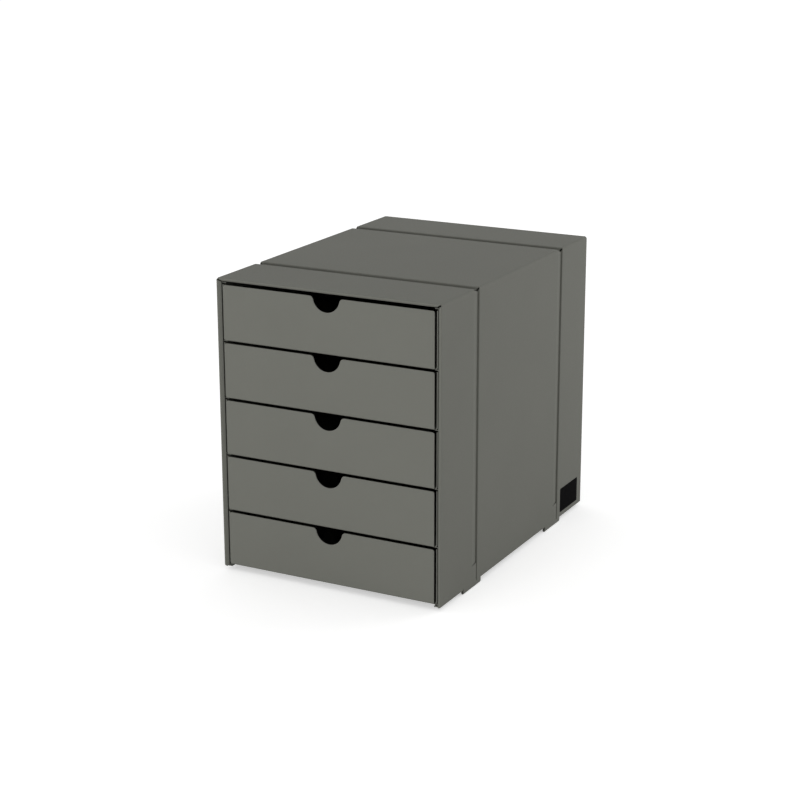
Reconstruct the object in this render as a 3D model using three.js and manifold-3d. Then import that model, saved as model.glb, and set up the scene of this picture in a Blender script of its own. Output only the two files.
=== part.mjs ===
// Desktop file drawer: a folded sheet-steel housing that holds five paper trays.
// Millimetres, +Z up, front towards -Y, origin on the desk under the middle.

import * as THREE from 'three';
import Module from 'manifold-3d';
import { mergeVertices } from 'three/addons/utils/BufferGeometryUtils.js';
import { ConvexGeometry } from 'three/addons/geometries/ConvexGeometry.js';

const wasm = await Module();
wasm.setup();

// Shared values
const seatGap = 0.3;            // left between pieces that touch
const overrun = 5;              // how far a cut runs past its piece
const bendSteps = 4;            // straight steps in one bend
const notchSteps = 16;          // straight steps in the finger notch

// Housing shell
const housingWidth = 248;
const housingDepth = 349.5;
const shellSheet = 1;
const topBend = 2.5;            // outer radius of the two top bends
const bottomBend = 1.8;         // outer radius where the sides fold in at the bottom
const bottomFlange = 8;         // width of the flange along the bottom of each side
const sideLip = 4.35;           // how far a side's front lip reaches in; it leans back at 45 degrees
const topLip = 3.2;             // how far the top's front lip reaches down
const lipBend = 1.05;           // outer radius of the fold between the sheet and its lip
const lipSlit = 2.1;            // open mitre between the side lip and the top lip
const lipSlitReach = 2;         // how far the mitre runs back through the outer sheet
const rearFlange = 9;

// Foot tabs, in the plane of the sides
const footHeight = 4;
const footLength = 39;
const footHemGap = 0.8;         // the tab is folded back on itself, with this much space between
const footHemRise = 0.6;        // how far the folded layer runs up past the side's edge
const footFrontCorner = 0.7;
const footRearCorner = 2.4;
const footRelief = 1.5;         // slot between a tab and the folded flange
const footFromFront = 51.5;
const footFromRear = 59.5;

// Pressed grooves: a ramp that sinks towards the rear and ends in a step
const grooveLength = 11.5;
const topGrooveDepth = 3;
const sideGrooveDepth = 2;
const grooveEndRise = 20;       // above the side's bottom edge
const grooveEndDrop = 2;        // how far its end slopes down to the surface at the step
const grooveEndSlit = 0.4;      // the sheet is slit there, so that it could be pressed in
const tailLength = 5.5;         // the narrow, shallow end of a side groove
const tailDepth = 0.9;
const cornerSlit = 1.7;         // open slit where a groove turns the corner
const cornerSlitStart = 0.5;
const grooveFromFront = 70;
const grooveFromRear = 66.8;

// Trays
const trayCount = 5;
const trayHeight = 56.7;
const trayPitchGap = 2.5;       // between one front and the next
const traySheet = 1;
const trayBend = 2.2;           // outer radius along the bottom of the sides
const tabBend = 2;              // outer radius under the front tab
const tabSlit = 1.3;            // open slit between the front tab and a side
const tabCorner = 2;
const trayRecess = 0.8;         // front tab behind the housing's front edge
const traySideSetback = 2.5;    // sides' front edges behind the tab's face
const trayBackDrop = 4;         // how much lower the back wall is
const trayLipGap = 0.95;        // between a tray's side and the side lip
const trayRunGap = 0.35;        // between a tray and its runner
const trayTopGap = 3.65;        // between the top tray and the top lip
const notchRadius = 15;
const notchFillet = 4;

// Runners and top guides
const runnerSheet = 1;
const runnerBend = 1.5;
const runnerLeg = 7.5;          // width of the leg under the tray
const runnerWall = 14;          // height of the leg against the side
const runnerRecess = 4.5;       // front end behind the housing's front edge
const stopHeight = 8;           // end of the runner, folded up behind the tray

// Back panel and base rails
const panelSheet = 1;
const railWidth = 25;
const railSheet = 1;
const railLip = 2.5;
const railFromFront = 40;
const railFromRear = 24.5;

// Label
const labelLength = 46.5;
const labelHeight = 27;
const labelFilm = 0.25;
const labelFromRear = 12.5;
const labelRise = 6;            // above the side's bottom edge

// Worked out from the sizes above
const halfWidth = housingWidth / 2;
const frontY = -housingDepth / 2;
const rearY = housingDepth / 2;
const footStarts = [frontY + footFromFront, rearY - footFromRear - footLength];
const grooveStarts = [frontY + grooveFromFront, rearY - grooveFromRear - grooveLength];
const railStarts = [frontY + railFromFront, rearY - railFromRear - railWidth];
const sideBottomZ = footHeight;
const footHem = shellSheet + footHemGap + shellSheet;
const firstTrayZ = sideBottomZ + shellSheet + seatGap + runnerSheet + trayRunGap;
const trayPitch = trayHeight + trayPitchGap;
const topTrayTopZ = firstTrayZ + trayCount * trayPitch - trayPitchGap;
const topZ = topTrayTopZ + trayTopGap + topLip;
const trayHalf = halfWidth - sideLip - trayLipGap;
const tabHalf = trayHalf - traySheet - tabSlit;
const tabY = frontY + trayRecess;
const panelRearY = rearY - shellSheet - seatGap;
const panelFrontY = panelRearY - panelSheet;
const runnerFrontY = frontY + runnerRecess;
const runnerRearY = panelFrontY - seatGap;
const trayRearY = runnerRearY - runnerSheet - seatGap;
const tabReachY = tabY + tabBend + trayBend;

// Materials
const steelColour = 0x6f706a;
const insideColour = 0x64655f;
const labelColour = 0x0b0b0b;

const paintedSteel = { color: steelColour, roughness: 0.55, metalness: 0.25 };
const paintedInside = { color: insideColour, roughness: 0.6, metalness: 0.25 };
const labelFilmFinish = { color: labelColour, roughness: 0.45, metalness: 0 };

// Outlines and solids
function bendPoints(x, y, radius, startAngle, sweep, steps) {
  return Array.from({ length: steps + 1 }, (unused, i) => {
    const angle = startAngle + sweep * i / steps;
    return new THREE.Vector2(x + radius * Math.cos(angle), y + radius * Math.sin(angle));
  });
}

// A closed outline from corners [x, y] or [x, y, radius]
function outline(corners) {
  const points = corners.flatMap(([x, y, radius = 0], i) => {
    const here = new THREE.Vector2(x, y);
    if (radius === 0) return [here];
    const back = new THREE.Vector2(...corners.at(i - 1)).sub(here).normalize();
    const ahead = new THREE.Vector2(...corners[(i + 1) % corners.length]).sub(here).normalize();
    const half = Math.acos(back.dot(ahead)) / 2;
    const inward = back.clone().add(ahead).normalize();
    const centre = here.clone().addScaledVector(inward, radius / Math.sin(half));
    const start = here.clone().addScaledVector(back, radius / Math.tan(half)).sub(centre);
    const sweep = Math.sign(back.cross(ahead)) * (Math.PI - 2 * half);
    return bendPoints(centre.x, centre.y, radius, start.angle(), -sweep, bendSteps);
  });
  return new THREE.Shape(points);
}

function solid(geometry) {
  const bare = geometry.index ? geometry.clone() : geometry;
  bare.deleteAttribute('normal');
  bare.deleteAttribute('uv');
  const merged = mergeVertices(bare);
  return new wasm.Manifold(new wasm.Mesh({
    numProp: 3,
    vertProperties: new Float32Array(merged.attributes.position.array),
    triVerts: new Uint32Array(merged.index.array),
  }));
}

function extruded(shape, length, basis, offset) {
  const geometry = new THREE.ExtrudeGeometry(shape, { depth: length, bevelEnabled: false });
  geometry.applyMatrix4(basis);
  geometry.translate(offset.x, offset.y, offset.z);
  return solid(geometry);
}

const axisX = new THREE.Vector3(1, 0, 0);
const axisY = new THREE.Vector3(0, 1, 0);
const axisZ = new THREE.Vector3(0, 0, 1);
const alongX = new THREE.Matrix4().makeBasis(axisY, axisZ, axisX);
const alongY = new THREE.Matrix4().makeBasis(axisX, axisZ, axisY.clone().negate());

// An outline in Y and Z, run along X
function prismX(shape, fromX, toX) {
  return extruded(shape, toX - fromX, alongX, new THREE.Vector3(fromX, 0, 0));
}

// An outline in X and Z, run along Y
function prismY(shape, fromY, toY) {
  return extruded(shape, toY - fromY, alongY, new THREE.Vector3(0, toY, 0));
}

// An outline in X and Y, run along Z
function prismZ(shape, fromZ, toZ) {
  return extruded(shape, toZ - fromZ, new THREE.Matrix4(), new THREE.Vector3(0, 0, fromZ));
}

function block(fromX, toX, fromY, toY, fromZ, toZ) {
  const geometry = new THREE.BoxGeometry(Math.abs(toX - fromX), toY - fromY, toZ - fromZ);
  geometry.translate((fromX + toX) / 2, (fromY + toY) / 2, (fromZ + toZ) / 2);
  return solid(geometry);
}

function joined(solids) {
  return solids.reduce((sum, next) => sum.add(next));
}

function cutBy(body, cutters) {
  return cutters.reduce((rest, cutter) => rest.subtract(cutter), body);
}

function meshOf(name, body, finish) {
  const { vertProperties, triVerts } = body.getMesh();
  const geometry = new THREE.BufferGeometry();
  geometry.setAttribute('position', new THREE.BufferAttribute(vertProperties, 3));
  geometry.setIndex(new THREE.BufferAttribute(triVerts, 1));
  const mesh = new THREE.Mesh(geometry, new THREE.MeshStandardMaterial(finish));
  mesh.name = name;
  return mesh;
}

// The X of a place that lies a distance in from the outer face of one side
function inFrom(side, distance) {
  return side * (halfWidth - distance);
}

const sides = [-1, 1];
const sideNames = { '-1': 'left', 1: 'right' };

function onBothSides(starts, make) {
  return sides.flatMap((side) => starts.flatMap((startY) => make(side, startY)));
}

// Housing shell
function foldedSheet() {
  const flangeX = halfWidth - bottomFlange;
  const innerX = halfWidth - shellSheet;
  const innerTopZ = topZ - shellSheet;
  const innerBottomZ = sideBottomZ + shellSheet;
  return prismY(outline([
    [-flangeX, sideBottomZ],
    [-halfWidth, sideBottomZ, bottomBend],
    [-halfWidth, topZ, topBend],
    [halfWidth, topZ, topBend],
    [halfWidth, sideBottomZ, bottomBend],
    [flangeX, sideBottomZ],
    [flangeX, innerBottomZ],
    [innerX, innerBottomZ, bottomBend - shellSheet],
    [innerX, innerTopZ, topBend - shellSheet],
    [-innerX, innerTopZ, topBend - shellSheet],
    [-innerX, innerBottomZ, bottomBend - shellSheet],
    [-flangeX, innerBottomZ],
  ]), frontY + lipBend, rearY);
}

// The housing's outer form, without a hollow
function filledForm(fromY, toY) {
  return prismY(outline([
    [-halfWidth, sideBottomZ, bottomBend],
    [-halfWidth, topZ, topBend],
    [halfWidth, topZ, topBend],
    [halfWidth, sideBottomZ, bottomBend],
  ]), fromY, toY);
}

// The section of a front lip, as [distance in from the outer face, Y]
function lipSection(reach) {
  const foldY = frontY - lipBend * Math.SQRT2;
  const endY = foldY + reach;
  const offset = shellSheet * Math.SQRT1_2;
  const innerY = foldY + shellSheet + shellSheet * Math.SQRT2;
  const backY = frontY + lipBend + shellSheet;
  return [
    [0, backY],
    [0, foldY, lipBend],
    [reach, endY],
    [reach - offset, endY + offset],
    [shellSheet, innerY],
    [shellSheet, backY],
  ];
}

function frontLips() {
  const sideLips = sides.map((side) => prismZ(
    outline(lipSection(sideLip).map(([depth, y, radius]) => [inFrom(side, depth), y, radius])),
    sideBottomZ,
    topZ,
  ));
  const topLips = prismX(
    outline(lipSection(topLip).map(([depth, y, radius]) => [y, topZ - depth, radius])),
    -halfWidth,
    halfWidth,
  );
  return joined([...sideLips, topLips]).intersect(filledForm(frontY, frontY + sideLip));
}

// The flange behind the rear edge, open at the bottom
function rearFrame() {
  const innerX = halfWidth - rearFlange;
  const hollow = block(
    -innerX,
    innerX,
    rearY - overrun,
    rearY + overrun,
    sideBottomZ - overrun,
    topZ - rearFlange,
  );
  return filledForm(rearY - shellSheet, rearY).subtract(hollow);
}

function topGrooveCut(startY) {
  const stepY = startY + grooveLength;
  return prismX(outline([
    [startY, topZ + overrun],
    [startY, topZ],
    [stepY, topZ - topGrooveDepth],
    [stepY, topZ + overrun],
  ]), -halfWidth - overrun, halfWidth + overrun);
}

function topGrooveBack(startY) {
  const stepY = startY + grooveLength + shellSheet;
  return prismX(outline([
    [startY, topZ - shellSheet / 2],
    [startY, topZ - shellSheet],
    [stepY, topZ - shellSheet - topGrooveDepth],
    [stepY, topZ - shellSheet / 2],
  ]), shellSheet / 2 - halfWidth, halfWidth - shellSheet / 2);
}

// A saw-tooth ridge down one side, between two depths in from the outer face.
// Its levels are [height, where the ramp starts, depth of the deep end], from the bottom up.
function sideRidge(side, stepY, nearDepth, rampDepth, levels) {
  const points = levels.flatMap(([z, startY, deepest]) => [
    new THREE.Vector3(inFrom(side, nearDepth), startY, z),
    new THREE.Vector3(inFrom(side, nearDepth), stepY, z),
    new THREE.Vector3(inFrom(side, rampDepth), startY, z),
    new THREE.Vector3(inFrom(side, deepest), stepY, z),
  ]);
  return solid(new ConvexGeometry(points));
}

function sideGrooveCuts(side, startY) {
  const stepY = startY + grooveLength;
  const tailY = stepY - tailLength;
  const endZ = sideBottomZ + grooveEndRise;
  const main = sideRidge(side, stepY, -overrun, 0, [
    [endZ - grooveEndDrop, stepY, 0],
    [endZ, startY, sideGrooveDepth],
    [topZ + overrun, startY, sideGrooveDepth],
  ]);
  const tail = sideRidge(side, stepY, -overrun, 0, [
    [sideBottomZ, tailY, tailDepth],
    [endZ, tailY, tailDepth],
  ]);
  return [main, tail];
}

function sideGrooveBacks(side, startY) {
  const stepY = startY + grooveLength + shellSheet;
  const tailY = stepY - tailLength;
  const endZ = sideBottomZ + grooveEndRise - shellSheet;
  const main = sideRidge(side, stepY, shellSheet / 2, shellSheet, [
    [endZ - grooveEndDrop, stepY, shellSheet],
    [endZ, startY, shellSheet + sideGrooveDepth],
    [topZ - shellSheet / 2, startY, shellSheet + sideGrooveDepth],
  ]);
  const tail = sideRidge(side, stepY, shellSheet / 2, shellSheet, [
    [sideBottomZ, tailY, shellSheet + tailDepth],
    [endZ, tailY, shellSheet + tailDepth],
  ]);
  return [main, tail];
}

function grooveEndCut(side, startY) {
  const x = [inFrom(side, -overrun), inFrom(side, sideGrooveDepth + overrun)];
  const endZ = sideBottomZ + grooveEndRise;
  return block(Math.min(...x), Math.max(...x), startY, startY + grooveLength, endZ - grooveEndSlit, endZ);
}

// A thin cut through a top corner, on the line that halves the corner
function cornerCut(side, width, fromDepth, toDepth, fromY, toY) {
  const geometry = new THREE.BoxGeometry(width, toY - fromY, toDepth - fromDepth);
  geometry.translate(0, (fromY + toY) / 2, -(fromDepth + toDepth) / 2);
  geometry.rotateY(side * Math.PI / 4);
  geometry.translate(side * halfWidth, 0, topZ);
  return solid(geometry);
}

function cornerCuts(side) {
  const behindBend = topBend * (Math.SQRT2 - 1) + shellSheet;
  const lipCuts = [
    cornerCut(side, lipSlit, -overrun, overrun, frontY - overrun, frontY + lipSlitReach),
    cornerCut(side, lipSlit, behindBend, overrun, frontY, frontY + sideLip),
  ];
  const grooveCuts = grooveStarts.map((startY) => cornerCut(
    side,
    cornerSlit,
    -overrun,
    overrun + topGrooveDepth,
    startY + cornerSlitStart,
    startY + grooveLength + shellSheet,
  ));
  return [...lipCuts, ...grooveCuts];
}

function footClearing(side, startY) {
  const x = [inFrom(side, -overrun), inFrom(side, bottomFlange + overrun)];
  return block(
    Math.min(...x),
    Math.max(...x),
    startY - footRelief,
    startY + footLength + footRelief,
    sideBottomZ - overrun,
    sideBottomZ + bottomBend,
  );
}

function footTab(side, startY) {
  const layer = (fromDepth, toDepth, riseZ) => {
    const x = [inFrom(side, fromDepth), inFrom(side, toDepth)];
    return prismX(outline([
      [startY, riseZ],
      [startY, 0, footFrontCorner],
      [startY + footLength, 0, footRearCorner],
      [startY + footLength, riseZ],
    ]), Math.min(...x), Math.max(...x));
  };
  const outer = layer(0, shellSheet, sideBottomZ + bottomBend + shellSheet);
  const folded = layer(shellSheet, footHem, sideBottomZ + footHemRise);
  const gapX = [inFrom(side, shellSheet), inFrom(side, shellSheet + footHemGap)];
  const gap = block(
    Math.min(...gapX),
    Math.max(...gapX),
    startY - overrun,
    startY + footLength + overrun,
    shellSheet,
    sideBottomZ + overrun,
  );
  return outer.add(folded).subtract(gap);
}

function housingShell() {
  const sheet = joined([
    foldedSheet(),
    frontLips(),
    rearFrame(),
  ]);
  const footed = cutBy(sheet, onBothSides(footStarts, footClearing));
  const raised = joined([
    footed,
    ...grooveStarts.map(topGrooveBack),
    ...onBothSides(grooveStarts, sideGrooveBacks),
    ...onBothSides(footStarts, footTab),
  ]);
  return cutBy(raised, [
    ...grooveStarts.map(topGrooveCut),
    ...onBothSides(grooveStarts, sideGrooveCuts),
    ...onBothSides(grooveStarts, grooveEndCut),
    ...sides.flatMap(cornerCuts),
  ]);
}

// Tray, with its underside at Z = 0
function notchOutline() {
  const reach = Math.sqrt((notchRadius + notchFillet) ** 2 - notchFillet ** 2);
  const tilt = Math.atan2(notchFillet, reach);
  const turn = Math.PI / 2;
  const filletZ = trayHeight - notchFillet;
  return new THREE.Shape([
    new THREE.Vector2(-reach, trayHeight + overrun),
    ...bendPoints(-reach, filletZ, notchFillet, turn, tilt - turn, bendSteps),
    ...bendPoints(0, trayHeight, notchRadius, Math.PI + tilt, Math.PI - 2 * tilt, notchSteps),
    ...bendPoints(reach, filletZ, notchFillet, Math.PI - tilt, tilt - turn, bendSteps),
    new THREE.Vector2(reach, trayHeight + overrun),
  ]);
}

function frontTab() {
  const bent = prismX(outline([
    [tabY, trayHeight],
    [tabY, 0, tabBend],
    [tabReachY, 0],
    [tabReachY, traySheet],
    [tabY + traySheet, traySheet, tabBend - traySheet],
    [tabY + traySheet, trayHeight],
  ]), -tabHalf, tabHalf);
  const face = prismY(outline([
    [-tabHalf - overrun, -overrun],
    [-tabHalf - overrun, trayHeight - tabCorner],
    [-tabHalf, trayHeight - tabCorner],
    [-tabHalf, trayHeight, tabCorner],
    [tabHalf, trayHeight, tabCorner],
    [tabHalf, trayHeight - tabCorner],
    [tabHalf + overrun, trayHeight - tabCorner],
    [tabHalf + overrun, -overrun],
  ]), tabY - overrun, tabReachY + overrun);
  const notch = prismY(notchOutline(), tabY - overrun, tabReachY + overrun);
  return bent.intersect(face).subtract(notch);
}

function tray() {
  const innerHalf = trayHalf - traySheet;
  const trough = prismY(outline([
    [-trayHalf, trayHeight],
    [-trayHalf, 0, trayBend],
    [trayHalf, 0, trayBend],
    [trayHalf, trayHeight],
    [innerHalf, trayHeight],
    [innerHalf, traySheet, trayBend - traySheet],
    [-innerHalf, traySheet, trayBend - traySheet],
    [-innerHalf, trayHeight],
  ]), tabY + traySideSetback, trayRearY);
  const back = prismY(outline([
    [-trayHalf, trayHeight - trayBackDrop],
    [-trayHalf, 0, trayBend],
    [trayHalf, 0, trayBend],
    [trayHalf, trayHeight - trayBackDrop],
  ]), trayRearY - traySheet, trayRearY);
  return joined([trough, back, frontTab()]);
}

// Runner, with the top of its leg at Z = 0. A guide is the same angle turned over.
function angle(side, up) {
  const wallX = shellSheet + seatGap;
  const legX = wallX + runnerLeg;
  const bottomZ = -runnerSheet;
  const wallZ = bottomZ + runnerWall;
  const fromLeg = (z) => (up ? z : bottomZ - z);
  const section = prismY(outline([
    [inFrom(side, legX), fromLeg(0)],
    [inFrom(side, legX), fromLeg(bottomZ)],
    [inFrom(side, wallX), fromLeg(bottomZ), runnerBend],
    [inFrom(side, wallX), fromLeg(wallZ)],
    [inFrom(side, wallX + runnerSheet), fromLeg(wallZ)],
    [inFrom(side, wallX + runnerSheet), fromLeg(0), runnerBend - runnerSheet],
  ]), runnerFrontY, runnerRearY);
  const reliefX = [inFrom(side, -overrun), inFrom(side, shellSheet + sideGrooveDepth + seatGap)];
  const reliefs = grooveStarts.map((startY) => block(
    Math.min(...reliefX),
    Math.max(...reliefX),
    startY - seatGap,
    startY + grooveLength + shellSheet + seatGap,
    -runnerWall - overrun,
    runnerWall + overrun,
  ));
  return cutBy(section, reliefs);
}

function runner(side) {
  const wallX = shellSheet + seatGap;
  const stopX = [inFrom(side, wallX), inFrom(side, wallX + runnerLeg)];
  const stop = block(
    Math.min(...stopX),
    Math.max(...stopX),
    runnerRearY - runnerSheet,
    runnerRearY,
    -runnerSheet / 2,
    stopHeight,
  );
  return angle(side, true).add(stop);
}

// Back panel, welded inside the rear flange
function backPanel() {
  const x = halfWidth - shellSheet - seatGap;
  const lowZ = sideBottomZ + shellSheet + seatGap;
  const highZ = topZ - shellSheet - seatGap;
  const corner = topBend - shellSheet - seatGap;
  return prismY(outline([
    [-x, lowZ, corner],
    [-x, highZ, corner],
    [x, highZ, corner],
    [x, lowZ, corner],
  ]), panelFrontY, panelRearY);
}

// Base rail: a shallow channel between the two bottom flanges
function baseRail(fromY) {
  const x = halfWidth - bottomFlange - seatGap;
  const toY = fromY + railWidth;
  const topOfRailZ = sideBottomZ + shellSheet;
  const lipZ = topOfRailZ - railSheet - railLip;
  return prismX(outline([
    [fromY, lipZ],
    [fromY, topOfRailZ, railSheet],
    [toY, topOfRailZ, railSheet],
    [toY, lipZ],
    [toY - railSheet, lipZ],
    [toY - railSheet, topOfRailZ - railSheet],
    [fromY + railSheet, topOfRailZ - railSheet],
    [fromY + railSheet, lipZ],
  ]), -x, x);
}

function label() {
  const toY = rearY - labelFromRear;
  const fromZ = sideBottomZ + labelRise;
  return block(halfWidth, halfWidth + labelFilm, toY - labelLength, toY, fromZ, fromZ + labelHeight);
}

// The assembly
const housing = new THREE.Group();
housing.add(meshOf('housing_shell', housingShell(), paintedSteel));
housing.add(meshOf('back_panel', backPanel(), paintedInside));
['front', 'rear'].forEach((end, i) => {
  housing.add(meshOf(`base_rail_${end}`, baseRail(railStarts[i]), paintedInside));
});
housing.add(meshOf('side_label', label(), labelFilmFinish));

const fileDrawer = new THREE.Group();
fileDrawer.add(housing);

const trayBody = tray();
const runnerBodies = sides.map(runner);
const guideBodies = sides.map((side) => angle(side, false));

for (let level = 1; level <= trayCount; level += 1) {
  const trayZ = firstTrayZ + (trayCount - level) * trayPitch;
  const trayMesh = meshOf(`tray_${level}`, trayBody, paintedSteel);
  trayMesh.position.z = trayZ;
  fileDrawer.add(trayMesh);
  sides.forEach((side, i) => {
    const runnerMesh = meshOf(`runner_${level}_${sideNames[side]}`, runnerBodies[i], paintedInside);
    runnerMesh.position.z = trayZ - trayRunGap;
    housing.add(runnerMesh);
  });
}

sides.forEach((side, i) => {
  const guideMesh = meshOf(`top_guide_${sideNames[side]}`, guideBodies[i], paintedInside);
  guideMesh.position.z = topTrayTopZ + trayPitchGap - trayRunGap;
  housing.add(guideMesh);
});

export default fileDrawer;
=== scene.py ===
# Looks of the desktop file drawer. Metres, +Z up, front towards -Y.

import math
from collections import namedtuple

import bmesh
import bpy
from mathutils import Euler, Matrix, Vector


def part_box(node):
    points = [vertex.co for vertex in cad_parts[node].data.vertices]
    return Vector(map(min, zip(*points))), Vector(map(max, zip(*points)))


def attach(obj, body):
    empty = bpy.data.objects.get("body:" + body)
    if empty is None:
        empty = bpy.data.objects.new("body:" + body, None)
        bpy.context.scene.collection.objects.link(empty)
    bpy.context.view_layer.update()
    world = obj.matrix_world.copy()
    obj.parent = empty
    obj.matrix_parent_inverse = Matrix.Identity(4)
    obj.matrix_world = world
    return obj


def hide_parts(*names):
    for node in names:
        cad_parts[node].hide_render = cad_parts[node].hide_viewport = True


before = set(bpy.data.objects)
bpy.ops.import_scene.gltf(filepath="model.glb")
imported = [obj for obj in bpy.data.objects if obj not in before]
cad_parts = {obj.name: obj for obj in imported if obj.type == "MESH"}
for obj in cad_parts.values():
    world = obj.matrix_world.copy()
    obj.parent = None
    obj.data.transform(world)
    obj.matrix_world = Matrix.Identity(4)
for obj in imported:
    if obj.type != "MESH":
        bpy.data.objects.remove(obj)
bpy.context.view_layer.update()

# Places that come from the frame
SHELL_LOW, SHELL_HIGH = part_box("housing_shell")
TRAY_LOW, TRAY_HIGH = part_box("tray_1")
LABEL_LOW, LABEL_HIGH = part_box("side_label")
HALF_WIDTH = SHELL_HIGH.x
FRONT_Y = SHELL_LOW.y
REAR_Y = SHELL_HIGH.y
TOP_Z = SHELL_HIGH.z
TRAY_NAMES = [name for name in sorted(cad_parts) if name.startswith("tray_")]

# Housing shell
SHEET = 0.001
TOP_BEND = 0.0025
BOTTOM_BEND = 0.0018
REAR_BEND = 0.0015
BOTTOM_FLANGE = 0.008
REAR_FLANGE = 0.009
REAR_MITRE = 0.0006
SIDE_LIP = 0.00435
TOP_LIP = 0.0032
LIP_BEND = 0.00105
LIP_SLIT = 0.0021
LIP_SLIT_REACH = 0.002
LIP_TRIM = 0.0013
LIP_BAND = 0.004

# Foot tabs
FOOT_HEIGHT = 0.004
FOOT_LENGTH = 0.039
FOOT_HEM_GAP = 0.0008
FOOT_HEM_RISE = 0.0006
FOOT_CORNER = 0.0024
FOOT_CORNER_EASE = 0.0001  # keeps the rounded corner from closing up at its lowest edge
FOOT_RELIEF = 0.0015
FOOT_FROM_FRONT = 0.0515
FOOT_FROM_REAR = 0.0595

# Pressed grooves
GROOVE_LENGTH = 0.0115
TOP_GROOVE_DEPTH = 0.003
SIDE_GROOVE_DEPTH = 0.002
GROOVE_END_RISE = 0.020
GROOVE_END_DROP = 0.002
GROOVE_END_SLIT = 0.0004
GROOVE_ENTRY_BEND = 0.005
GROOVE_FOOT_BEND = 0.0006
GROOVE_EDGE_BEND = 0.0011
TAIL_LENGTH = 0.0055
TAIL_DEPTH = 0.0009
CORNER_SLIT = 0.0017
CORNER_SLIT_START = 0.0005
GROOVE_FROM_FRONT = 0.070
GROOVE_FROM_REAR = 0.0668

# Trays
TRAY_SHEET = 0.001
TRAY_BEND = 0.0022
TAB_BEND = 0.002
TAB_SLIT = 0.0013
TAB_CORNER = 0.002
TRAY_SIDE_SETBACK = 0.0025
TRAY_BACK_DROP = 0.004
BACK_SLIT = 0.00015
BACK_RELIEF = 0.0012
BACK_CORNER = 0.003
NOTCH_RADIUS = 0.015
NOTCH_FILLET = 0.004

# Sheet edges and label
TRAY_EDGE_ROUND = 0.00025
INNER_EDGE_ROUND = 0.00015
LABEL_CORNER = 0.0012
LABEL_EDGE_ROUND = 0.00008

# Steps of round stretches
BEND_STEPS = 6
NOTCH_STEPS = 12
EDGE_STEPS = 2

# In degrees: the least angle of an edge, the middle of the top bend, and what counts as one angle
EDGE_ANGLE = 38
CORNER_MIDDLE = 45
ANGLE_REACH = 0.1

# What counts as one place, and how many widths of a folded edge draw in towards its mitre
WELD_REACH = 0.00001
MITRE_SPREAD = 2

# Worked out from the sizes above
BOTTOM_Z = FOOT_HEIGHT
FOLD_TOP_Z = BOTTOM_Z + BOTTOM_BEND
FOOT_HEM = SHEET + FOOT_HEM_GAP + SHEET
GROOVE_END_Z = BOTTOM_Z + GROOVE_END_RISE
FOOT_STARTS = [FRONT_Y + FOOT_FROM_FRONT, REAR_Y - FOOT_FROM_REAR - FOOT_LENGTH]
GROOVE_STARTS = [FRONT_Y + GROOVE_FROM_FRONT, REAR_Y - GROOVE_FROM_REAR - GROOVE_LENGTH]

# A station is a place across the folded sheet: its zone, its place, and its angle on the top bend
Station = namedtuple("Station", "zone x z turn")
# A row crosses all stations: its place along the sheet, a groove's and its tail's depth as shares,
# its two places on the front lip, how far it is folded in at the rear, and if the corner is slit
Row = namedtuple("Row", "y ramp tail lip rear slit")


def on_circle(centre, radius, degrees):
    angle = math.radians(degrees)
    return Vector(centre) + radius * Vector((math.cos(angle), math.sin(angle)))


def arc(centre, radius, start, end, steps=BEND_STEPS):
    """Points on an arc between two angles in degrees, both ends included."""
    return [on_circle(centre, radius, start + (end - start) * i / steps) for i in range(steps + 1)]


def rounded(corners):
    """A line through corners (a, b, radius), with the corners rounded. Its ends stay as they are."""
    places = [Vector(corner[:2]) for corner in corners]
    points = [places[0]]
    for i in range(1, len(corners) - 1):
        radius = corners[i][2]
        if radius == 0:
            points.append(places[i])
            continue
        back = (places[i - 1] - places[i]).normalized()
        ahead = (places[i + 1] - places[i]).normalized()
        half = back.angle(ahead) / 2
        centre = places[i] + (back + ahead).normalized() * radius / math.sin(half)
        start = places[i] + back * radius / math.tan(half) - centre
        sweep = math.pi - 2 * half
        turn = -math.copysign(1, back.cross(ahead))
        for step in range(BEND_STEPS + 1):
            angle = turn * sweep * step / BEND_STEPS
            points.append(centre + Matrix.Rotation(angle, 2) @ start)
    points.append(places[-1])
    return points


def squeezed(value, start, old_end, new_end):
    """Draws the values past start in, so that old_end lands on new_end."""
    share = (value - start) / (old_end - start)
    return value if share < 0 else start + share * (new_end - start)


def eased(share):
    """A share between 0 and 1 that starts and ends softly."""
    share = min(max(share, 0), 1)
    return share * share * (3 - 2 * share)


def grid(build, table, kept):
    """Faces between neighbouring points of a table of columns, where kept(column, row) says so."""
    vertices = [[build.verts.new(point) for point in column] for column in table]
    for i in range(len(table) - 1):
        for j in range(len(table[i]) - 1):
            if kept(i, j):
                build.faces.new((
                    vertices[i][j],
                    vertices[i][j + 1],
                    vertices[i + 1][j + 1],
                    vertices[i + 1][j],
                ))


def piece_of(build, name, material):
    """Turns a bmesh into a smooth object with one material."""
    bmesh.ops.remove_doubles(build, verts=build.verts, dist=WELD_REACH)
    loose = [vertex for vertex in build.verts if not vertex.link_faces]
    bmesh.ops.delete(build, geom=loose, context="VERTS")
    for face in build.faces:
        face.smooth = True
    mesh = bpy.data.meshes.new(name)
    build.to_mesh(mesh)
    build.free()
    mesh.materials.append(material)
    piece = bpy.data.objects.new(name, mesh)
    bpy.context.scene.collection.objects.link(piece)
    return piece


def round_edges(piece, width):
    bevel = piece.modifiers.new("edges", "BEVEL")
    bevel.width = width
    bevel.segments = EDGE_STEPS
    bevel.limit_method = "ANGLE"
    bevel.angle_limit = math.radians(EDGE_ANGLE)
    bevel.miter_outer = "MITER_ARC"
    bevel.use_clamp_overlap = True


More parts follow.
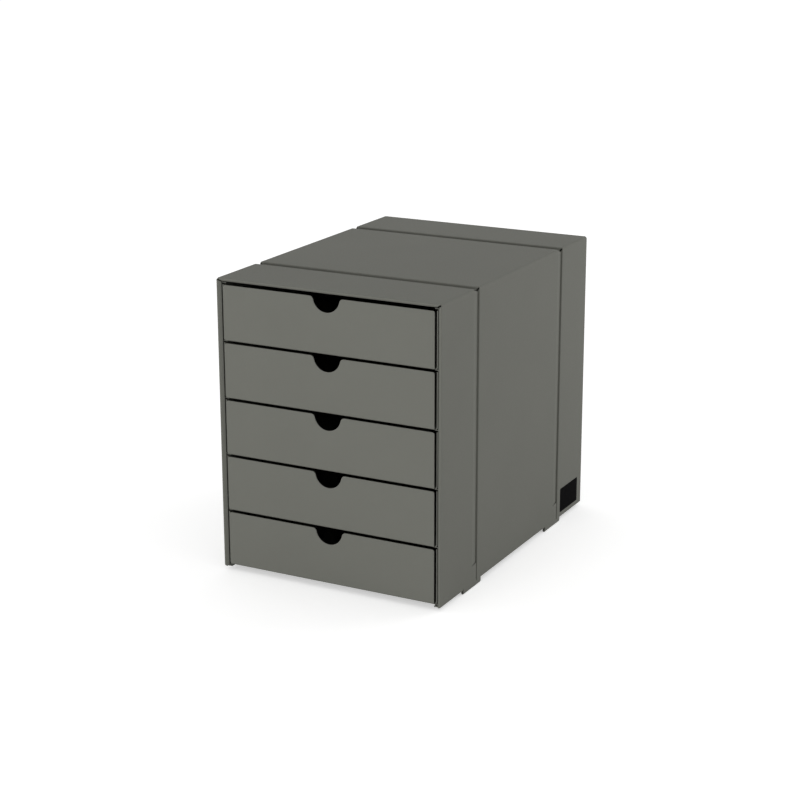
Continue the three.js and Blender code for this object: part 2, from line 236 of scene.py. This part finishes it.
def sharp_edge_nodes():
    """Geometry nodes that shade the edges over EDGE_ANGLE as sharp."""
    group = bpy.data.node_groups.new("sharp_edges", "GeometryNodeTree")
    for direction in ("INPUT", "OUTPUT"):
        group.interface.new_socket("Geometry", in_out=direction, socket_type="NodeSocketGeometry")
    start = group.nodes.new("NodeGroupInput")
    end = group.nodes.new("NodeGroupOutput")
    angle = group.nodes.new("GeometryNodeInputMeshEdgeAngle")
    over = group.nodes.new("FunctionNodeCompare")
    over.operation = "GREATER_THAN"
    over.inputs["B"].default_value = math.radians(EDGE_ANGLE)
    shade = group.nodes.new("GeometryNodeSetShadeSmooth")
    shade.domain = "EDGE"
    shade.inputs["Shade Smooth"].default_value = False
    group.links.new(start.outputs["Geometry"], shade.inputs["Geometry"])
    group.links.new(angle.outputs["Unsigned Angle"], over.inputs["A"])
    group.links.new(over.outputs["Result"], shade.inputs["Selection"])
    group.links.new(shade.outputs["Geometry"], end.inputs["Geometry"])
    return group


def give_thickness(piece, thickness, edge_round=0, mirrored=True):
    """Makes one sheet of real thickness out of its outer surface, with rounded or crisp edges."""
    if mirrored:
        mirror = piece.modifiers.new("mirror", "MIRROR")
        mirror.use_clip = True
        mirror.merge_threshold = WELD_REACH
    solidify = piece.modifiers.new("sheet", "SOLIDIFY")
    solidify.thickness = thickness
    solidify.offset = -1
    solidify.use_even_offset = True
    if edge_round:
        round_edges(piece, edge_round)
    else:
        sharp = piece.modifiers.new("sharp", "NODES")
        sharp.node_group = sharp_edge_nodes()
    normals = piece.modifiers.new("normals", "WEIGHTED_NORMAL")
    normals.keep_sharp = True


# Housing shell: a table of stations across the folded sheet and rows along it
def slit_half_angle(slit):
    """Half of the angle, in degrees, that a slit takes up on the top bend."""
    return math.degrees(math.asin(slit / TOP_BEND / 2))


def corner_angles():
    """The top bend's stations: both ends and middle, and the edges of its two slits."""
    narrow, wide = sorted(slit_half_angle(slit) for slit in (LIP_SLIT, CORNER_SLIT))
    low = [0, (CORNER_MIDDLE - wide) / 2, CORNER_MIDDLE - wide, CORNER_MIDDLE - narrow]
    high = [2 * CORNER_MIDDLE - angle for angle in reversed(low)]
    return low + [CORNER_MIDDLE] + high


def groove_end_heights():
    """Heights along the slope at a groove's lower end, up to the slit, and above the slit."""
    low = GROOVE_END_Z - GROOVE_END_DROP
    slope = GROOVE_END_DROP - GROOVE_END_SLIT
    return [*(low + slope * i / BEND_STEPS for i in range(BEND_STEPS + 1)), GROOVE_END_Z]


def shell_stations():
    stations = [Station("flange", HALF_WIDTH - BOTTOM_FLANGE, BOTTOM_Z, None)]
    fold_centre = (HALF_WIDTH - BOTTOM_BEND, FOLD_TOP_Z)
    for point in arc(fold_centre, BOTTOM_BEND, -90, 0):
        stations.append(Station("fold", point.x, point.y, None))
    mitre_starts = [MITRE_SPREAD * width for width in (REAR_FLANGE, TOP_LIP)]
    heights = [BOTTOM_Z + LIP_BAND, *groove_end_heights(), *(TOP_Z - reach for reach in mitre_starts)]
    for z in heights:
        stations.append(Station("side", HALF_WIDTH, z, None))
    bend_centre = (HALF_WIDTH - TOP_BEND, TOP_Z - TOP_BEND)
    for angle in corner_angles():
        point = on_circle(bend_centre, TOP_BEND, angle)
        stations.append(Station("corner", point.x, point.y, angle))
    for x in [*(HALF_WIDTH - reach for reach in reversed(mitre_starts)), 0]:
        stations.append(Station("top", x, TOP_Z, None))
    return stations


def plain_row(y, lip=None, rear=0):
    return Row(y, 0, 0, lip, rear, False)


def in_order(rows):
    return sorted(rows, key=lambda row: row.y)


def lip_line(reach):
    """A front lip that leans back at 45 degrees, as (depth from the outer face, y), with its fold."""
    fold_y = FRONT_Y - LIP_BEND * math.sqrt(2)
    return rounded([
        (reach, fold_y + reach, 0),
        (0, fold_y, LIP_BEND),
        (0, FRONT_Y + LIP_SLIT_REACH, 0),
    ])


def lip_rows():
    places = list(zip(lip_line(SIDE_LIP), lip_line(TOP_LIP)))
    rows = [plain_row(side.y, lip=(side, top)) for side, top in places[:-1]]
    return rows + [plain_row(FRONT_Y + LIP_SLIT_REACH)]


def groove_rows(start):
    """Rows along a saw tooth: a long ramp in, then a steep step out, with a small tail below."""
    step = start + GROOVE_LENGTH
    tail_start = step - TAIL_LENGTH
    slit_start = start + CORNER_SLIT_START
    line = rounded([
        (start - GROOVE_LENGTH, 0, 0),
        (start, 0, GROOVE_ENTRY_BEND),
        (step, TOP_GROOVE_DEPTH, GROOVE_FOOT_BEND),
        (step, 0, GROOVE_EDGE_BEND),
        (step + GROOVE_LENGTH, 0, 0),
    ])
    deepest = max(point.y for point in line)
    foot = max(i for i, point in enumerate(line) if point.y > deepest - SHEET / 2)
    rows = []
    for i, point in enumerate(line[1:-1], start=1):
        ramp = point.y / TOP_GROOVE_DEPTH
        tail = (point.x - tail_start) / TAIL_LENGTH if i <= foot else ramp
        rows.append(Row(point.x, ramp, max(tail, 0), None, 0, point.x > slit_start))
    on_ramp = [
        Row(y, (y - start) / GROOVE_LENGTH, 0, None, 0, True)
        for y in (slit_start, tail_start)
    ]
    entry = BEND_STEPS + 1
    return in_order(rows[:entry] + on_ramp) + rows[entry:]


def foot_rows(start):
    end = start + FOOT_LENGTH
    corner = arc((end - FOOT_CORNER, 0), FOOT_CORNER, 90, 0)
    places = [start - FOOT_RELIEF, start, *(point.x for point in corner), end + FOOT_RELIEF]
    return [plain_row(y) for y in places]


def rear_rows():
    bend = arc((REAR_Y - REAR_BEND, 0), REAR_BEND, 90, 0)
    share = REAR_BEND / REAR_FLANGE
    rows = [plain_row(point.x, rear=(1 - point.y / REAR_BEND) * share) for point in bend]
    return rows + [plain_row(REAR_Y, rear=1)]


def shell_rows():
    """All rows from the front lip to the rear edge. Foot rows inside a groove are left out."""
    feet = in_order(row for start in FOOT_STARTS for row in foot_rows(start))
    rows = lip_rows()
    for groove in map(groove_rows, GROOVE_STARTS):
        rows += [row for row in feet if rows[-1].y < row.y < groove[0].y]
        rows += groove
    rows += [row for row in feet if row.y > rows[-1].y]
    return rows + rear_rows()


def on_side(station):
    if station.zone == "corner":
        return station.turn < CORNER_MIDDLE
    return station.zone in ("fold", "side")


def folded_in(station, side_width, top_width, slit, trim):
    """Where a station ends up on the edge that is folded in from the front or the rear."""
    bend_middle = TOP_BEND * (1 - math.cos(math.radians(CORNER_MIDDLE)))
    spread = MITRE_SPREAD * top_width
    side_end = side_width + slit / 2
    top_end = top_width + slit / 2
    if on_side(station):
        z = squeezed(station.z, TOP_Z - spread, TOP_Z - bend_middle, TOP_Z - top_end)
        z = squeezed(z, BOTTOM_Z + LIP_BAND, BOTTOM_Z, BOTTOM_Z + trim)
        return Vector((HALF_WIDTH - side_width, z))
    x = squeezed(station.x, HALF_WIDTH - spread, HALF_WIDTH - bend_middle, HALF_WIDTH - side_end)
    return Vector((x, TOP_Z - top_width))


def groove_depths(station, row):
    """How far a groove draws a point in from the side and down from the top."""
    in_x = 0
    if station.zone in ("fold", "side", "corner"):
        slope = row.ramp * GROOVE_END_DROP
        full = eased((station.z - GROOVE_END_Z + slope) / slope) if slope > WELD_REACH else 0
        in_x = max(row.ramp * SIDE_GROOVE_DEPTH * full, row.tail * TAIL_DEPTH)
    down_z = row.ramp * TOP_GROOVE_DEPTH if station.zone in ("corner", "top") else 0
    return in_x, down_z


def shell_point(station, row):
    """Where a row crosses a station on the shell's outer surface."""
    place = Vector((station.x, station.z))
    y = row.y
    if row.lip:
        line = row.lip[0] if on_side(station) else row.lip[1]
        reach = SIDE_LIP if on_side(station) else TOP_LIP
        place = place.lerp(folded_in(station, SIDE_LIP, TOP_LIP, LIP_SLIT, LIP_TRIM), line.x / reach)
        y = line.y
    if row.rear > 0:
        place = place.lerp(folded_in(station, REAR_FLANGE, REAR_FLANGE, REAR_MITRE, 0), row.rear)
    in_x, down_z = groove_depths(station, row)
    return Vector((place.x - in_x, y, place.y - down_z))


def within(row, starts, length, margin=0):
    """Says if a row lies on one of the stretches of this length that start at these places."""
    reach = margin + WELD_REACH
    return any(start - reach <= row.y <= start + length + reach for start in starts)


def in_foot(row):
    return within(row, FOOT_STARTS, FOOT_LENGTH, FOOT_RELIEF)


def in_groove(row):
    return within(row, GROOVE_STARTS, GROOVE_LENGTH)


def shell_keeps(stations, rows):
    """Says which faces of the shell's table are sheet, and which are slits and reliefs."""
    def in_slit(pair, slit):
        half = slit_half_angle(slit) + ANGLE_REACH
        at_corner = all(station.zone == "corner" for station in pair)
        return at_corner and all(abs(station.turn - CORNER_MIDDLE) <= half for station in pair)

    def kept(i, j):
        across = (stations[i], stations[i + 1])
        along = (rows[j], rows[j + 1])
        at_lip = any(row.lip for row in along)
        at_rear = any(row.rear > 0 for row in along)
        if across[0].zone == "flange":
            return not (at_lip or at_rear or all(in_foot(row) for row in along))
        if across[1].zone == "fold":
            return not all(in_foot(row) for row in along)
        if across[1].z == GROOVE_END_Z:
            return not all(in_groove(row) for row in along)
        if at_lip or at_rear:
            return not in_slit(across, LIP_SLIT)
        if all(row.slit for row in along):
            return not in_slit(across, CORNER_SLIT)
        return True

    return kept


def foot_outline():
    """A foot tab's section as (depth from the side's face, height), from its hem up to the side."""
    nose = FOOT_HEM / 2
    hem = [Vector((FOOT_HEM, z)) for z in (FOOT_HEIGHT + FOOT_HEM_RISE, FOOT_CORNER)]
    face = [Vector((0, z)) for z in (FOOT_CORNER, FOOT_HEIGHT)]
    return hem + arc((nose, nose), nose, 0, -180) + face


def foot_point(depth, z, y, start):
    """A point of a foot tab, drawn in at its rounded rear corner."""
    corner_y = start + FOOT_LENGTH - FOOT_CORNER
    if y > corner_y and z < FOOT_CORNER:
        rise = (FOOT_CORNER - z) / (FOOT_CORNER + FOOT_CORNER_EASE)
        y = corner_y + (y - corner_y) * math.sqrt(1 - rise * rise)
    return Vector((HALF_WIDTH - depth, y, z))


def add_foot(build, start, rows):
    inside = [row for row in rows if within(row, [start], FOOT_LENGTH)]
    side_bottom = Station("side", HALF_WIDTH, FOLD_TOP_Z, None)
    columns = [
        [foot_point(place.x, place.y, row.y, start) for row in inside]
        for place in foot_outline()
    ]
    columns.append([shell_point(side_bottom, row) for row in inside])
    grid(build, columns, lambda i, j: True)


def housing_shell(material):
    stations = shell_stations()
    rows = shell_rows()
    build = bmesh.new()
    table = [[shell_point(station, row) for row in rows] for station in stations]
    grid(build, table, shell_keeps(stations, rows))
    for start in FOOT_STARTS:
        add_foot(build, start, rows)
    shell = piece_of(build, "folded_housing", material)
    give_thickness(shell, SHEET)
    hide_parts("housing_shell")
    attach(shell, "housing")


# Tray: one sheet, folded up on all four sides, with its underside at Z = 0
def tray_section():
    """The bottom, one bend and one wall of a tray, as (x, z) from the middle outwards."""
    half = TRAY_HIGH.x
    height = TRAY_HIGH.z - TRAY_LOW.z
    bend = arc((half - TRAY_BEND, TRAY_BEND), TRAY_BEND, -90, 0)
    return [*bend, Vector((half, height))]


def tab_half_width():
    return TRAY_HIGH.x - TRAY_SHEET - TAB_SLIT


def notch_line(height):
    """The finger notch from the tab's top edge to its lowest point in the middle."""
    centre_reach = NOTCH_RADIUS + NOTCH_FILLET
    reach = math.sqrt(centre_reach ** 2 - NOTCH_FILLET ** 2)
    tilt = math.degrees(math.asin(NOTCH_FILLET / centre_reach))
    fillet = arc((reach, height - NOTCH_FILLET), NOTCH_FILLET, 90, 180 - tilt)
    notch = arc((0, height), NOTCH_RADIUS, -tilt, -90, NOTCH_STEPS)
    return fillet + notch[1:]


def add_wall(build, outline, y):
    vertices = [build.verts.new((place.x, y, place.y)) for place in outline]
    build.faces.new(vertices)


def add_tray_bottom(build, front_y, rear_y):
    """The flat bottom, with its bends up into the front tab and the back. Beside the tab it starts
    at the sides' front edges."""
    flat_half = TRAY_HIGH.x - TRAY_BEND
    front_bend = arc((front_y + TAB_BEND, TAB_BEND), TAB_BEND, 180, 270)
    side_start = Vector((front_y + TRAY_SIDE_SETBACK, 0))
    rear_bend = arc((rear_y - TAB_BEND, TAB_BEND), TAB_BEND, -90, 0)
    columns = [
        [Vector((x, place.x, place.y)) for place in [*front_bend, side_start, *rear_bend]]
        for x in [0, tab_half_width(), flat_half]
    ]
    grid(build, columns, lambda i, j: i == 0 or j > BEND_STEPS)


def add_tray_side(build, front_y, rear_y):
    places = [front_y + TRAY_SIDE_SETBACK, rear_y - TAB_BEND, rear_y]
    columns = [[Vector((place.x, y, place.y)) for y in places] for place in tray_section()]
    grid(build, columns, lambda i, j: True)


def tab_face(height):
    """Half of the front tab's outline, from the bend to the notch, as (x, z)."""
    tab_half = tab_half_width()
    side = rounded([
        (0, TAB_BEND, 0),
        (tab_half, TAB_BEND, 0),
        (tab_half, height, TAB_CORNER),
        (NOTCH_RADIUS + NOTCH_FILLET, height, 0),
    ])
    return side[:-1] + notch_line(height)


def back_face(height):
    """Half of the back's outline, from the bend up, with its reliefs at the sides' bends."""
    flat_half = TRAY_HIGH.x - TRAY_BEND
    wide_half = TRAY_HIGH.x - TRAY_SHEET - BACK_SLIT
    return rounded([
        (0, TAB_BEND, 0),
        (tab_half_width(), TAB_BEND, 0),
        (flat_half, TAB_BEND, 0),
        (flat_half, TAB_BEND + BACK_RELIEF, 0),
        (wide_half, TAB_BEND + 2 * BACK_RELIEF, 0),
        (wide_half, height - TRAY_BACK_DROP, BACK_CORNER),
        (0, height - TRAY_BACK_DROP, 0),
    ])


def tray_mesh(name, material):
    front_y = TRAY_LOW.y
    rear_y = TRAY_HIGH.y
    height = TRAY_HIGH.z - TRAY_LOW.z
    build = bmesh.new()
    add_tray_bottom(build, front_y, rear_y)
    add_tray_side(build, front_y, rear_y)
    add_wall(build, tab_face(height), front_y)
    add_wall(build, list(reversed(back_face(height))), rear_y)
    return piece_of(build, name, material)


def trays(material):
    for name in TRAY_NAMES:
        tray = tray_mesh(f"folded_{name}", material)
        give_thickness(tray, TRAY_SHEET, TRAY_EDGE_ROUND)
        tray.location.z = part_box(name)[0].z
        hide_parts(name)
        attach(tray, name)


# Label: a thin film with rounded corners, left bare
def side_label(material):
    low = (LABEL_LOW.y, LABEL_LOW.z)
    high = (LABEL_HIGH.y, LABEL_HIGH.z)
    middle = ((low[0] + high[0]) / 2, low[1], 0)
    corners = [
        middle,
        (high[0], low[1], LABEL_CORNER),
        (high[0], high[1], LABEL_CORNER),
        (low[0], high[1], LABEL_CORNER),
        (low[0], low[1], LABEL_CORNER),
        middle,
    ]
    build = bmesh.new()
    outline = rounded(corners)[:-1]
    build.faces.new([build.verts.new((LABEL_HIGH.x, place.x, place.y)) for place in outline])
    label = piece_of(build, "bare_label", material)
    give_thickness(label, LABEL_HIGH.x - LABEL_LOW.x, LABEL_EDGE_ROUND, mirrored=False)
    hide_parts("side_label")
    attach(label, "housing")


# Runners, guides, back panel and rails keep their CAD shape
def inner_parts(material):
    shown = set(TRAY_NAMES) | {"housing_shell", "side_label"}
    for name in sorted(set(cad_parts) - shown):
        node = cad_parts[name]
        # These parts take the coat that is painted darker as shade inside the housing
        for material_slot in node.material_slots:
            material_slot.material = material
        weld = node.modifiers.new("weld", "WELD")
        weld.merge_threshold = WELD_REACH
        round_edges(node, INNER_EDGE_ROUND)


# Materials: powder coat with a faint orange peel, a darker copy of it on the inside parts as painted
# shade, and the label's film
POWDER_COLOUR = (0.155, 0.157, 0.138)
# The inside parts' coat is the same paint darkened to this share: painted shade for the shade inside
# the housing
INSIDE_PAINTED_SHADE_SHARE = 0.85
POWDER_ROUGHNESS = 0.7
POWDER_ROUGHNESS_SPREAD = 0.08
POWDER_SPECULAR = 0.12
PEEL_SCALE = 700
PEEL_DETAIL = 3
PEEL_HEIGHT = 0.000012
GRAIN_SCALE = 2600
GRAIN_DETAIL = 2
GRAIN_HEIGHT = 0.000004
MOTTLE_SCALE = 14
MOTTLE_DETAIL = 2
MOTTLE_SHARE = 0.015
NOISE_LOW_SHARE = 0.3
NOISE_HIGH_SHARE = 0.7
FILM_COLOUR = (0.0025, 0.0025, 0.0027)
FILM_ROUGHNESS = 0.6
FILM_SPECULAR = 0.01
FILM_GRAIN_SCALE = 3200
FILM_GRAIN_HEIGHT = 0.000002


def new_material(name):
    material = bpy.data.materials.new(name)
    material.use_nodes = True
    nodes = material.node_tree.nodes
    return material, nodes, material.node_tree.links, nodes["Principled BSDF"]


def noise(nodes, links, coordinates, scale, detail):
    texture = nodes.new("ShaderNodeTexNoise")
    texture.inputs["Scale"].default_value = scale
    texture.inputs["Detail"].default_value = detail
    links.new(coordinates.outputs["Object"], texture.inputs["Vector"])
    return texture


def ranged(nodes, links, texture, low, high):
    """A texture's middle range, spread between two values."""
    spread = nodes.new("ShaderNodeMapRange")
    spread.inputs["From Min"].default_value = NOISE_LOW_SHARE
    spread.inputs["From Max"].default_value = NOISE_HIGH_SHARE
    spread.inputs["To Min"].default_value = low
    spread.inputs["To Max"].default_value = high
    links.new(texture.outputs["Fac"], spread.inputs["Value"])
    return spread


def bump(nodes, links, texture, height, base=None):
    relief = nodes.new("ShaderNodeBump")
    relief.inputs["Distance"].default_value = height
    links.new(texture.outputs["Fac"], relief.inputs["Height"])
    if base:
        links.new(base.outputs["Normal"], relief.inputs["Normal"])
    return relief


def toned(colour, share):
    return tuple(channel * share for channel in colour)


def mottled(nodes, links, coordinates, colour):
    """A colour that drifts a little lighter and darker."""
    texture = noise(nodes, links, coordinates, MOTTLE_SCALE, MOTTLE_DETAIL)
    mix = nodes.new("ShaderNodeMix")
    mix.data_type = "RGBA"
    mix.inputs["A"].default_value = (*toned(colour, 1 - MOTTLE_SHARE), 1)
    mix.inputs["B"].default_value = (*toned(colour, 1 + MOTTLE_SHARE), 1)
    links.new(ranged(nodes, links, texture, 0, 1).outputs["Result"], mix.inputs["Factor"])
    return mix


def powder_coat(name, tone_share):
    material, nodes, links, shader = new_material(name)
    coordinates = nodes.new("ShaderNodeTexCoord")
    paint = mottled(nodes, links, coordinates, toned(POWDER_COLOUR, tone_share))
    peel = noise(nodes, links, coordinates, PEEL_SCALE, PEEL_DETAIL)
    grain = noise(nodes, links, coordinates, GRAIN_SCALE, GRAIN_DETAIL)
    low = POWDER_ROUGHNESS - POWDER_ROUGHNESS_SPREAD
    high = POWDER_ROUGHNESS + POWDER_ROUGHNESS_SPREAD
    roughness = ranged(nodes, links, peel, low, high)
    relief = bump(nodes, links, grain, GRAIN_HEIGHT, bump(nodes, links, peel, PEEL_HEIGHT))
    shader.inputs["Specular IOR Level"].default_value = POWDER_SPECULAR
    links.new(paint.outputs["Result"], shader.inputs["Base Color"])
    links.new(roughness.outputs["Result"], shader.inputs["Roughness"])
    links.new(relief.outputs["Normal"], shader.inputs["Normal"])
    return material


def satin_film(name):
    material, nodes, links, shader = new_material(name)
    coordinates = nodes.new("ShaderNodeTexCoord")
    film = mottled(nodes, links, coordinates, FILM_COLOUR)
    grain = noise(nodes, links, coordinates, FILM_GRAIN_SCALE, GRAIN_DETAIL)
    relief = bump(nodes, links, grain, FILM_GRAIN_HEIGHT)
    shader.inputs["Roughness"].default_value = FILM_ROUGHNESS
    shader.inputs["Specular IOR Level"].default_value = FILM_SPECULAR
    links.new(film.outputs["Result"], shader.inputs["Base Color"])
    links.new(relief.outputs["Normal"], shader.inputs["Normal"])
    return material


# Studio: pale floor, even light, and the camera where the photograph was taken from
WHITE = (1, 1, 1, 1)
FLOOR_REACH = 14
FLOOR_COLOUR = (0.9, 0.9, 0.9, 1)
FLOOR_LIFT = 0.46
WORLD_LIGHT = 0.65
LAMP_SIZE = 1.2
FRONT_LAMP_POWER = 32
FRONT_LAMP_PLACE = Vector((-0.4, -2.6, 0.2))
SIDE_LAMP_POWER = 15
SIDE_LAMP_PLACE = Vector((1.5, 1.7, 0.5))
CAMERA_AIM = Vector((-0.0094, -0.0054, 0.1522))
CAMERA_DISTANCE = 2.0385
CAMERA_AZIMUTH = math.radians(27.902)
CAMERA_ELEVATION = math.radians(16.618)
CAMERA_ROLL = math.radians(-0.132)
CAMERA_LENS = 87.17
CAMERA_SENSOR = 36


def floor():
    """A pale floor, lifted towards white only where the camera sees it."""
    mesh = bpy.data.meshes.new("floor")
    reach = FLOOR_REACH
    corners = [(-reach, -reach, 0), (reach, -reach, 0), (reach, reach, 0), (-reach, reach, 0)]
    mesh.from_pydata(corners, [], [(0, 1, 2, 3)])
    plane = bpy.data.objects.new("floor", mesh)
    bpy.context.scene.collection.objects.link(plane)
    material, nodes, links, shader = new_material("pale_floor")
    rays = nodes.new("ShaderNodeLightPath")
    lift = nodes.new("ShaderNodeMath")
    lift.operation = "MULTIPLY"
    lift.inputs[1].default_value = FLOOR_LIFT
    links.new(rays.outputs["Is Camera Ray"], lift.inputs[0])
    shader.inputs["Base Color"].default_value = FLOOR_COLOUR
    shader.inputs["Roughness"].default_value = 1
    shader.inputs["Specular IOR Level"].default_value = 0
    shader.inputs["Emission Color"].default_value = WHITE
    links.new(lift.outputs["Value"], shader.inputs["Emission Strength"])
    mesh.materials.append(material)


def studio_world():
    """Even light, with a white backdrop for the camera and for reflections."""
    world = bpy.data.worlds.new("studio")
    world.use_nodes = True
    bpy.context.scene.world = world
    nodes = world.node_tree.nodes
    links = world.node_tree.links
    rays = nodes.new("ShaderNodeLightPath")
    glossy = nodes.new("ShaderNodeMath")
    glossy.operation = "MAXIMUM"
    seen = nodes.new("ShaderNodeMath")
    seen.operation = "MAXIMUM"
    light = nodes["Background"]
    light.inputs["Color"].default_value = WHITE
    light.inputs["Strength"].default_value = WORLD_LIGHT
    white = nodes.new("ShaderNodeBackground")
    white.inputs["Color"].default_value = WHITE
    mix = nodes.new("ShaderNodeMixShader")
    links.new(rays.outputs["Is Glossy Ray"], glossy.inputs[0])
    links.new(rays.outputs["Is Transmission Ray"], glossy.inputs[1])
    links.new(rays.outputs["Is Camera Ray"], seen.inputs[0])
    links.new(glossy.outputs["Value"], seen.inputs[1])
    links.new(seen.outputs["Value"], mix.inputs["Fac"])
    links.new(light.outputs["Background"], mix.inputs[1])
    links.new(white.outputs["Background"], mix.inputs[2])
    links.new(mix.outputs["Shader"], nodes["World Output"].inputs["Surface"])


def soft_lamp(name, power, place):
    lamp = bpy.data.lights.new(name, "AREA")
    lamp.energy = power
    lamp.shape = "SQUARE"
    lamp.size = LAMP_SIZE
    holder = bpy.data.objects.new(name, lamp)
    holder.location = place
    holder.rotation_euler = (CAMERA_AIM - place).to_track_quat("-Z", "Y").to_euler()
    holder.visible_camera = False
    bpy.context.scene.collection.objects.link(holder)


def camera():
    lens = bpy.data.cameras.new("camera")
    lens.sensor_width = CAMERA_SENSOR
    lens.lens = CAMERA_LENS
    view = bpy.data.objects.new("camera", lens)
    turn = Euler((math.pi / 2 - CAMERA_ELEVATION, 0, CAMERA_AZIMUTH)).to_matrix()
    turn = turn @ Matrix.Rotation(CAMERA_ROLL, 3, "Z")
    view.matrix_world = Matrix.LocRotScale(CAMERA_AIM + turn.col[2] * CAMERA_DISTANCE, turn, None)
    bpy.context.scene.collection.objects.link(view)
    bpy.context.scene.camera = view


outer_paint = powder_coat("powder_coat", 1)
# The same powder coat, painted darker as shade for the parts inside the housing
shaded_inside_paint = powder_coat("powder_coat_painted_shade_inside", INSIDE_PAINTED_SHADE_SHARE)

housing_shell(outer_paint)
trays(outer_paint)
side_label(satin_film("label_film_black"))
inner_parts(shaded_inside_paint)
floor()
studio_world()
soft_lamp("front_lamp", FRONT_LAMP_POWER, FRONT_LAMP_PLACE)
soft_lamp("side_lamp", SIDE_LAMP_POWER, SIDE_LAMP_PLACE)
camera()
bpy.context.scene.view_settings.view_transform = "Standard"
